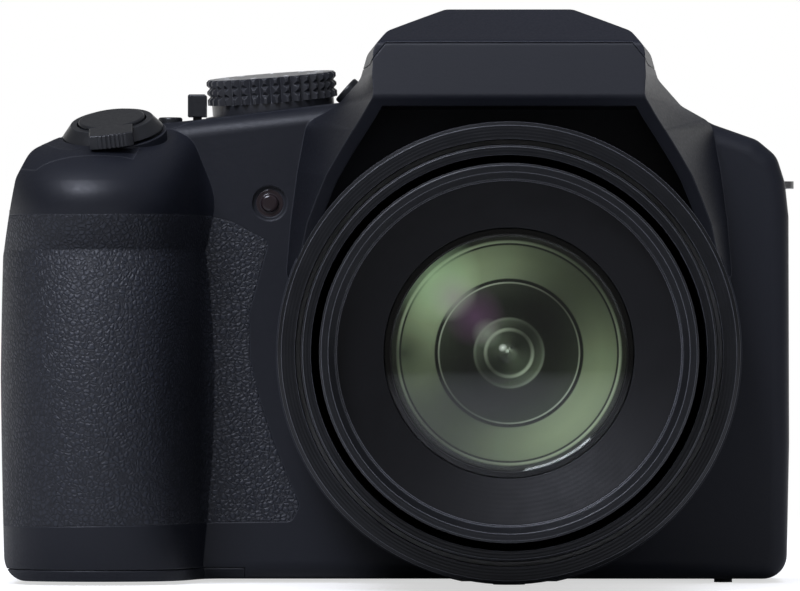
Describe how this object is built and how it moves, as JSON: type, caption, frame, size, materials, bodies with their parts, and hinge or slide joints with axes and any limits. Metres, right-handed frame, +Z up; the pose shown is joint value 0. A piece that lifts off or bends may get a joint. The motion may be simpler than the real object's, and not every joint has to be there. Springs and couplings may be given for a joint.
{
  "type": "bridge camera",
  "caption": "Bridge camera with a large fixed zoom lens under a hooded hump, a deep right-hand grip, a knurled mode dial, a pop-up flash and an eye-level viewfinder.",
  "frame": {"origin": "centre of the tripod socket's mouth in the base face, straight below the lens axis", "axes": "-Y is where the lens points, +Z is up, +X is the side away from the grip"},
  "size_m": [0.1318, 0.1192, 0.0943],
  "materials": {
    "casing_black": "fine matte grain",
    "skin_rubber": "leather grain",
    "dial_black": "satin anodised",
    "barrel_black": "satin",
    "inner_black": "dull",
    "key_black": "satin",
    "steel": "turned",
    "lens_glass": "coated and polished",
    "clear_glass": "polished",
    "screen_glass": "polished",
    "lamp_red": "polished",
    "board_green": "lacquered",
    "battery_grey": "moulded",
    "card_blue": "moulded",
    "brass": "turned",
    "aluminium": "pressed"
  },
  "bodies": {
    "body": {"front_casing": "casing_black", "rear_casing": "casing_black", "top_cover": "casing_black", "base_cover": "casing_black", "grip_rubber": "skin_rubber", "thumb_rubber": "skin_rubber", "casing_screws": "steel", "tripod_socket": "steel", "strap_lugs": "steel", "af_lamp_window": "lamp_red", "fixed_barrel": "inner_black", "trim_ring": "barrel_black", "guide_rods": "steel", "sensor_board": "board_green", "zoom_motor": "aluminium", "flash_hinge_pin": "steel", "eyecup": "skin_rubber", "eyepiece_lens": "clear_glass", "viewfinder_display": "screen_glass", "screen_window": "screen_glass", "screen_panel": "aluminium", "battery_door_pin": "steel", "battery": "battery_grey", "memory_card": "card_blue", "battery_bay": "inner_black", "main_board": "board_green"},
    "middle": {"middle_barrel": "barrel_black"},
    "front_group": {"front_barrel": "barrel_black", "name_ring": "barrel_black", "front_element": "lens_glass"},
    "cam": {"cam_ring": "aluminium"},
    "pinion": {"zoom_gear": "brass"},
    "zoom_carriage": {"zoom_group": "inner_black", "iris_unit": "inner_black"},
    "focus_carriage": {"focus_group": "inner_black"},
    "shutter": {"shutter_button": "key_black"},
    "lever": {"zoom_lever": "key_black"},
    "dial": {"mode_dial": "dial_black"},
    "switch": {"power_switch": "key_black"},
    "record_key": {"record_button": "key_black"},
    "function_key": {"function_button": "key_black"},
    "flash_key": {"flash_button": "key_black"},
    "thumb_dial": {"rear_dial": "key_black"},
    "flash": {"flash_cover": "casing_black", "flash_head": "inner_black", "flash_window": "clear_glass", "flash_tube": "clear_glass"},
    "diopter": {"diopter_wheel": "key_black"},
    "menu_key": {"menu_button": "key_black"},
    "battery_hatch": {"battery_door": "casing_black"},
    "latch": {"battery_latch": "key_black"},
    "side_hatch": {"terminal_door": "casing_black"},
    "cursor_up_key": {"cursor_up": "key_black"},
    "cursor_left_key": {"cursor_left": "key_black"},
    "cursor_down_key": {"cursor_down": "key_black"},
    "cursor_right_key": {"cursor_right": "key_black"},
    "af_lock_key": {"af_lock_button": "key_black"},
    "viewfinder_key": {"viewfinder_button": "key_black"},
    "playback_key": {"playback_button": "key_black"},
    "display_key": {"display_button": "key_black"}
  },
  "joints": [
    {"name": "zoom_extend", "type": "slide", "parent": "body", "child": "middle", "axis": [0, -1, 0], "range_m": [0, 0.03]},
    {"name": "front_extend", "type": "slide", "parent": "middle", "child": "front_group", "axis": [0, -1, 0], "range_m": [0, 0.0301]},
    {"name": "cam_turn", "type": "hinge", "parent": "body", "child": "cam", "pos_m": [0, -0.04, 0.0374], "axis": [0, 1, 0], "range_deg": [0, 150.5]},
    {"name": "pinion_turn", "type": "hinge", "parent": "body", "child": "pinion", "pos_m": [-0.0414, -0.0185, 0.0374], "axis": [0, 1, 0], "range_deg": [-736, 0]},
    {"name": "zoom_carriage_slide", "type": "slide", "parent": "body", "child": "zoom_carriage", "axis": [0, -1, 0], "range_m": [0, 0.0201]},
    {"name": "focus_slide", "type": "slide", "parent": "body", "child": "focus_carriage", "axis": [0, -1, 0], "range_m": [0, 0.006]},
    {"name": "shutter_press", "type": "slide", "parent": "body", "child": "shutter", "axis": [0.1063, 0.3007, -0.9478], "range_m": [0, 0.0012], "stiffness_N_per_m": 300},
    {"name": "zoom_lever_turn", "type": "hinge", "parent": "body", "child": "lever", "pos_m": [-0.0652, -0.03, 0.0734], "axis": [-0.1063, -0.3007, 0.9478], "range_deg": [-20, 20], "stiffness_Nm_per_rad": 0.02},
    {"name": "mode_dial_turn", "type": "hinge", "parent": "body", "child": "dial", "pos_m": [-0.0393, -0.009, 0.0775], "axis": [-0.0765, -0.068, 0.9947], "continuous": true},
    {"name": "power_slide", "type": "slide", "parent": "body", "child": "switch", "axis": [0, 1, 0], "range_m": [0, 0.003]},
    {"name": "record_press", "type": "slide", "parent": "body", "child": "record_key", "axis": [0, 0, -1], "range_m": [0, 0.0006], "stiffness_N_per_m": 200},
    {"name": "function_press", "type": "slide", "parent": "body", "child": "function_key", "axis": [0, 0, -1], "range_m": [0, 0.0006], "stiffness_N_per_m": 200},
    {"name": "flash_press", "type": "slide", "parent": "body", "child": "flash_key", "axis": [0.749, 0, -0.6626], "range_m": [0, 0.0008], "stiffness_N_per_m": 200},
    {"name": "rear_dial_turn", "type": "hinge", "parent": "body", "child": "thumb_dial", "pos_m": [-0.068, 0.0038, 0.0655], "axis": [0, 0, 1], "continuous": true},
    {"name": "flash_pop", "type": "hinge", "parent": "body", "child": "flash", "pos_m": [0, -0.0204, 0.0906], "axis": [-1, 0, 0], "range_deg": [0, 36]},
    {"name": "diopter_turn", "type": "hinge", "parent": "body", "child": "diopter", "pos_m": [0.0173, 0.0102, 0.076], "axis": [1, 0, 0], "range_deg": [-150, 150]},
    {"name": "menu_press", "type": "slide", "parent": "body", "child": "menu_key", "axis": [0, -1, 0], "range_m": [0, 0.0006], "stiffness_N_per_m": 200},
    {"name": "battery_door_swing", "type": "hinge", "parent": "body", "child": "battery_hatch", "pos_m": [-0.0498, -0.01, 0.0015], "axis": [0, -1, 0], "range_deg": [0, 95]},
    {"name": "latch_slide", "type": "slide", "parent": "battery_hatch", "child": "latch", "axis": [0, 1, 0], "range_m": [0, 0.003]},
    {"name": "terminal_door_swing", "type": "hinge", "parent": "body", "child": "side_hatch", "pos_m": [0.0456, -0.0041, 0.042], "axis": [0, 0, -1], "range_deg": [0, 90]},
    {"name": "cursor_up_press", "type": "slide", "parent": "body", "child": "cursor_up_key", "axis": [0, -1, 0], "range_m": [0, 0.0006], "stiffness_N_per_m": 200},
    {"name": "cursor_left_press", "type": "slide", "parent": "body", "child": "cursor_left_key", "axis": [0, -1, 0], "range_m": [0, 0.0006], "stiffness_N_per_m": 200},
    {"name": "cursor_down_press", "type": "slide", "parent": "body", "child": "cursor_down_key", "axis": [0, -1, 0], "range_m": [0, 0.0006], "stiffness_N_per_m": 200},
    {"name": "cursor_right_press", "type": "slide", "parent": "body", "child": "cursor_right_key", "axis": [0, -1, 0], "range_m": [0, 0.0006], "stiffness_N_per_m": 200},
    {"name": "af_lock_press", "type": "slide", "parent": "body", "child": "af_lock_key", "axis": [0, -1, 0], "range_m": [0, 0.0006], "stiffness_N_per_m": 200},
    {"name": "viewfinder_press", "type": "slide", "parent": "body", "child": "viewfinder_key", "axis": [0, -1, 0], "range_m": [0, 0.0006], "stiffness_N_per_m": 200},
    {"name": "playback_press", "type": "slide", "parent": "body", "child": "playback_key", "axis": [0, -1, 0], "range_m": [0, 0.0006], "stiffness_N_per_m": 200},
    {"name": "display_press", "type": "slide", "parent": "body", "child": "display_key", "axis": [0, -1, 0], "range_m": [0, 0.0006], "stiffness_N_per_m": 200}
  ],
  "couplings": [
    {"joint": "front_extend", "follows": "zoom_extend", "ratio": 1},
    {"joint": "cam_turn", "follows": "zoom_extend", "rad_per_m": 87.266},
    {"joint": "pinion_turn", "follows": "zoom_extend", "rad_per_m": -427.61},
    {"joint": "zoom_carriage_slide", "follows": "zoom_extend", "ratio": 0.6667}
  ]
}
